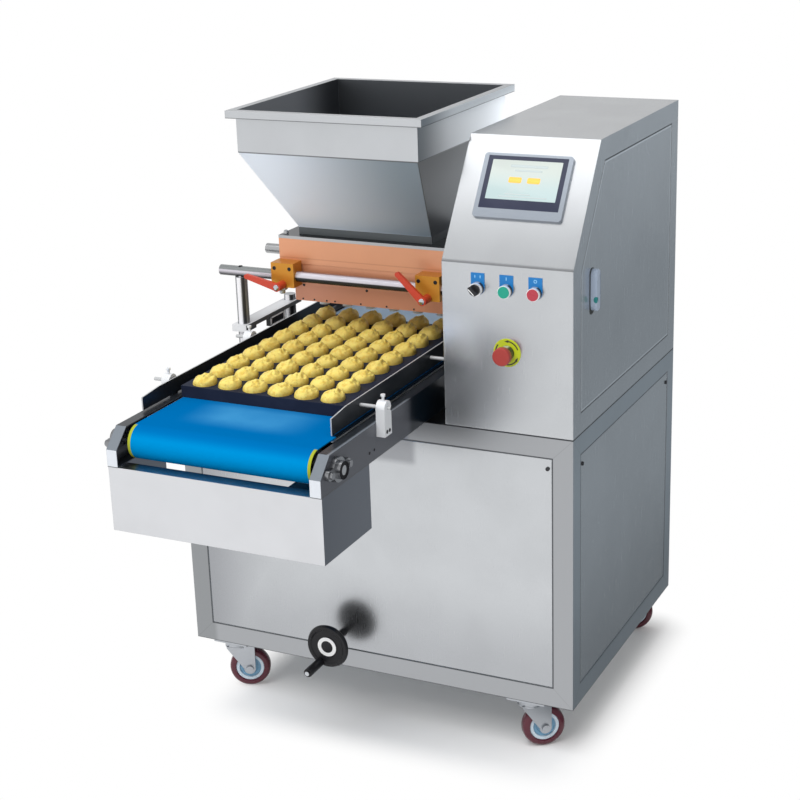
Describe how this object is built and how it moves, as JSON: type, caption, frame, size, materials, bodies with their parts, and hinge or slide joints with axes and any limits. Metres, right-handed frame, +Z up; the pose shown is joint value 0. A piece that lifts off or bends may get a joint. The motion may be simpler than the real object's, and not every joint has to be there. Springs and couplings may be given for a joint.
{
  "type": "cookie depositing machine",
  "caption": "Floor-standing cookie depositor: hopper and roller head over a belt conveyor with a dough tray, control tower and castered cabinet.",
  "frame": {"origin": "on the floor under the centre of the machine's bounding box", "axes": "+Z up, +Y from the loading end to the rear along the conveyor, +X to the operator's right, towards the control tower"},
  "size_m": [1, 1.274, 1.426],
  "materials": {
    "stainless": "brushed stainless sheet",
    "bright_steel": "ground and polished round bar",
    "machined_steel": "machined steel",
    "zinc": "zinc-plated and cast fittings",
    "copper_plate": "satin copper-orange plate",
    "amber_block": "gold anodised block",
    "lever_orange": "moulded red-orange plastic",
    "black_plastic": "moulded black plastic",
    "charcoal_plate": "dark wear strip",
    "button_green": "moulded green plastic",
    "button_red": "moulded red plastic",
    "stop_red": "moulded red plastic",
    "screen_glass": "dark glass with a lit picture",
    "bezel_silver": "silver moulded frame",
    "belt_blue": "smooth blue food belt",
    "belt_black": "black toothed belt",
    "tray_dark": "dark baking finish",
    "dough": "soft yellow dough",
    "wheel_maroon": "maroon wheel tread",
    "motor_grey": "grey motor paint",
    "device_grey": "moulded device cases on a steel plate"
  },
  "bodies": {
    "base": {"base_frame": "stainless", "cabinet_panels": "stainless", "panel_screws": "bright_steel", "caster_plates": "zinc", "jack_housing": "motor_grey", "tower_shell": "stainless", "door_pivots": "machined_steel", "hmi_bezel": "bezel_silver", "hmi_screen": "screen_glass", "button_collars": "bright_steel", "cable_gland": "black_plastic", "control_plate": "device_grey", "side_rails": "stainless", "slider_bed": "stainless", "conveyor_belt": "belt_blue", "flange_bearings": "zinc", "front_cover": "stainless", "conveyor_motor": "motor_grey", "drive_belt": "belt_black", "guide_blocks": "zinc"},
    "head": {"lift_platform": "machined_steel", "lift_posts": "bright_steel", "side_bars": "machined_steel", "tray_sensor": "black_plastic", "clamp_rod": "bright_steel", "clamp_blocks": "amber_block", "head_body": "machined_steel", "upper_front_plate": "copper_plate", "nozzle_manifold": "copper_plate", "nozzles": "bright_steel", "feed_motor": "motor_grey"},
    "tray": {"baking_tray": "tray_dark", "dough_portions": "dough"},
    "caster_fork_front_left": {"caster_fork_front_left": "zinc"},
    "caster_wheel_front_left": {"caster_wheel_front_left": "wheel_maroon"},
    "caster_fork_front_right": {"caster_fork_front_right": "zinc"},
    "caster_wheel_front_right": {"caster_wheel_front_right": "wheel_maroon"},
    "caster_fork_rear_left": {"caster_fork_rear_left": "zinc"},
    "caster_wheel_rear_left": {"caster_wheel_rear_left": "wheel_maroon"},
    "caster_fork_rear_right": {"caster_fork_rear_right": "zinc"},
    "caster_wheel_rear_right": {"caster_wheel_rear_right": "wheel_maroon"},
    "tower_door": {"tower_door": "stainless"},
    "latch_handle": {"latch_handle": "bright_steel"},
    "green_button": {"green_button": "button_green"},
    "red_button": {"red_button": "button_red"},
    "selector_knob": {"selector_knob": "black_plastic"},
    "estop_button": {"estop_button": "stop_red"},
    "front_roller": {"front_roller": "machined_steel"},
    "rear_roller": {"rear_roller": "machined_steel"},
    "motor_pulley": {"motor_pulley": "machined_steel"},
    "left_guide": {"left_guide": "charcoal_plate"},
    "right_guide": {"right_guide": "charcoal_plate"},
    "feed_roller_front": {"feed_roller_front": "machined_steel"},
    "feed_roller_rear": {"feed_roller_rear": "machined_steel"},
    "hopper": {"hopper": "stainless"},
    "left_clamp_lever": {"left_clamp_lever": "lever_orange"},
    "right_clamp_lever": {"right_clamp_lever": "lever_orange"},
    "lift_screw": {"lift_screw": "machined_steel"},
    "handwheel": {"handwheel": "black_plastic"},
    "crank_grip": {"crank_grip": "black_plastic"}
  },
  "joints": [
    {"name": "head_lift", "type": "slide", "parent": "base", "child": "head", "axis": [0, 0, 1], "range_m": [0, 0.04]},
    {"name": "handwheel_turn", "type": "hinge", "parent": "base", "child": "handwheel", "pos_m": [-0.09, -0.226, 0.213], "axis": [0, -1, 0], "range_deg": [0, 1441]},
    {"name": "screw_turn", "type": "hinge", "parent": "base", "child": "lift_screw", "pos_m": [-0.09, 0.147, 0.275], "axis": [0, 0, 1], "range_deg": [0, 1441]},
    {"name": "grip_turn", "type": "hinge", "parent": "handwheel", "child": "crank_grip", "pos_m": [-0.10944, -0.2335, 0.17131], "axis": [0, 1, 0], "continuous": true},
    {"name": "hopper_lift", "type": "slide", "parent": "head", "child": "hopper", "axis": [0, 0, 1], "range_m": [0, 0.2]},
    {"name": "feed_front_turn", "type": "hinge", "parent": "head", "child": "feed_roller_front", "pos_m": [-0.11, 0.112, 1.06], "axis": [1, 0, 0], "continuous": true},
    {"name": "feed_rear_turn", "type": "hinge", "parent": "head", "child": "feed_roller_rear", "pos_m": [-0.11, 0.192, 1.06], "axis": [1, 0, 0], "continuous": true},
    {"name": "left_lever_turn", "type": "hinge", "parent": "head", "child": "left_clamp_lever", "pos_m": [-0.297, 0.014, 1.002], "axis": [0, -1, 0], "range_deg": [0, 60]},
    {"name": "right_lever_turn", "type": "hinge", "parent": "head", "child": "right_clamp_lever", "pos_m": [0.077, 0.014, 1.002], "axis": [0, -1, 0], "range_deg": [0, 80]},
    {"name": "door_swing", "type": "hinge", "parent": "base", "child": "tower_door", "pos_m": [0.479, 0.505, 1.137], "axis": [0, 0, 1], "range_deg": [0, 100]},
    {"name": "latch_turn", "type": "hinge", "parent": "tower_door", "child": "latch_handle", "pos_m": [0.486, -0.034, 1.0985], "axis": [-1, 0, 0], "range_deg": [0, 90]},
    {"name": "selector_turn", "type": "hinge", "parent": "base", "child": "selector_knob", "pos_m": [0.273, -0.169, 1.085], "axis": [0, 1, 0], "range_deg": [-45, 45]},
    {"name": "green_press", "type": "slide", "parent": "base", "child": "green_button", "axis": [0, 1, 0], "range_m": [0, 0.0033], "stiffness_N_per_m": 600},
    {"name": "red_press", "type": "slide", "parent": "base", "child": "red_button", "axis": [0, 1, 0], "range_m": [0, 0.0033], "stiffness_N_per_m": 600},
    {"name": "stop_press", "type": "slide", "parent": "base", "child": "estop_button", "axis": [0, 1, 0], "range_m": [0, 0.004], "stiffness_N_per_m": 800},
    {"name": "front_roller_turn", "type": "hinge", "parent": "base", "child": "front_roller", "pos_m": [-0.11, -0.574, 0.811], "axis": [1, 0, 0], "continuous": true},
    {"name": "rear_roller_turn", "type": "hinge", "parent": "base", "child": "rear_roller", "pos_m": [-0.11, 0.574, 0.811], "axis": [1, 0, 0], "continuous": true},
    {"name": "motor_pulley_turn", "type": "hinge", "parent": "base", "child": "motor_pulley", "pos_m": [0.107, -0.529, 0.686], "axis": [1, 0, 0], "continuous": true},
    {"name": "left_guide_slide", "type": "slide", "parent": "base", "child": "left_guide", "axis": [1, 0, 0], "range_m": [0, 0.022]},
    {"name": "right_guide_slide", "type": "slide", "parent": "base", "child": "right_guide", "axis": [1, 0, 0], "range_m": [-0.018, 0.012]},
    {"name": "tray_travel", "type": "slide", "parent": "base", "child": "tray", "axis": [0, 1, 0], "range_m": [-0.19, 0.36]},
    {"name": "swivel_front_left", "type": "hinge", "parent": "base", "child": "caster_fork_front_left", "pos_m": [-0.406, -0.12, 0.1117], "axis": [0, 0, 1], "continuous": true},
    {"name": "wheel_turn_front_left", "type": "hinge", "parent": "caster_fork_front_left", "child": "caster_wheel_front_left", "pos_m": [-0.37904, -0.10685, 0.05], "axis": [-0.4384, 0.8988, 0], "continuous": true},
    {"name": "swivel_front_right", "type": "hinge", "parent": "base", "child": "caster_fork_front_right", "pos_m": [0.371, -0.12, 0.1117], "axis": [0, 0, 1], "continuous": true},
    {"name": "wheel_turn_front_right", "type": "hinge", "parent": "caster_fork_front_right", "child": "caster_wheel_front_right", "pos_m": [0.39464, -0.10153, 0.05], "axis": [-0.6157, 0.788, 0], "continuous": true},
    {"name": "swivel_rear_left", "type": "hinge", "parent": "base", "child": "caster_fork_rear_left", "pos_m": [-0.406, 0.53, 0.1117], "axis": [0, 0, 1], "continuous": true},
    {"name": "wheel_turn_rear_left", "type": "hinge", "parent": "caster_fork_rear_left", "child": "caster_wheel_rear_left", "pos_m": [-0.37904, 0.54315, 0.05], "axis": [-0.4384, 0.8988, 0], "continuous": true},
    {"name": "swivel_rear_right", "type": "hinge", "parent": "base", "child": "caster_fork_rear_right", "pos_m": [0.371, 0.53, 0.1117], "axis": [0, 0, 1], "continuous": true},
    {"name": "wheel_turn_rear_right", "type": "hinge", "parent": "caster_fork_rear_right", "child": "caster_wheel_rear_right", "pos_m": [0.39919, 0.54026, 0.05], "axis": [-0.342, 0.9397, 0], "continuous": true}
  ],
  "couplings": [
    {"joint": "handwheel_turn", "follows": "head_lift", "rad_per_m": 628.32},
    {"joint": "screw_turn", "follows": "head_lift", "rad_per_m": 628.32},
    {"joint": "feed_rear_turn", "follows": "feed_front_turn", "ratio": -1},
    {"joint": "rear_roller_turn", "follows": "front_roller_turn", "ratio": 1},
    {"joint": "motor_pulley_turn", "follows": "front_roller_turn", "ratio": 1}
  ]
}
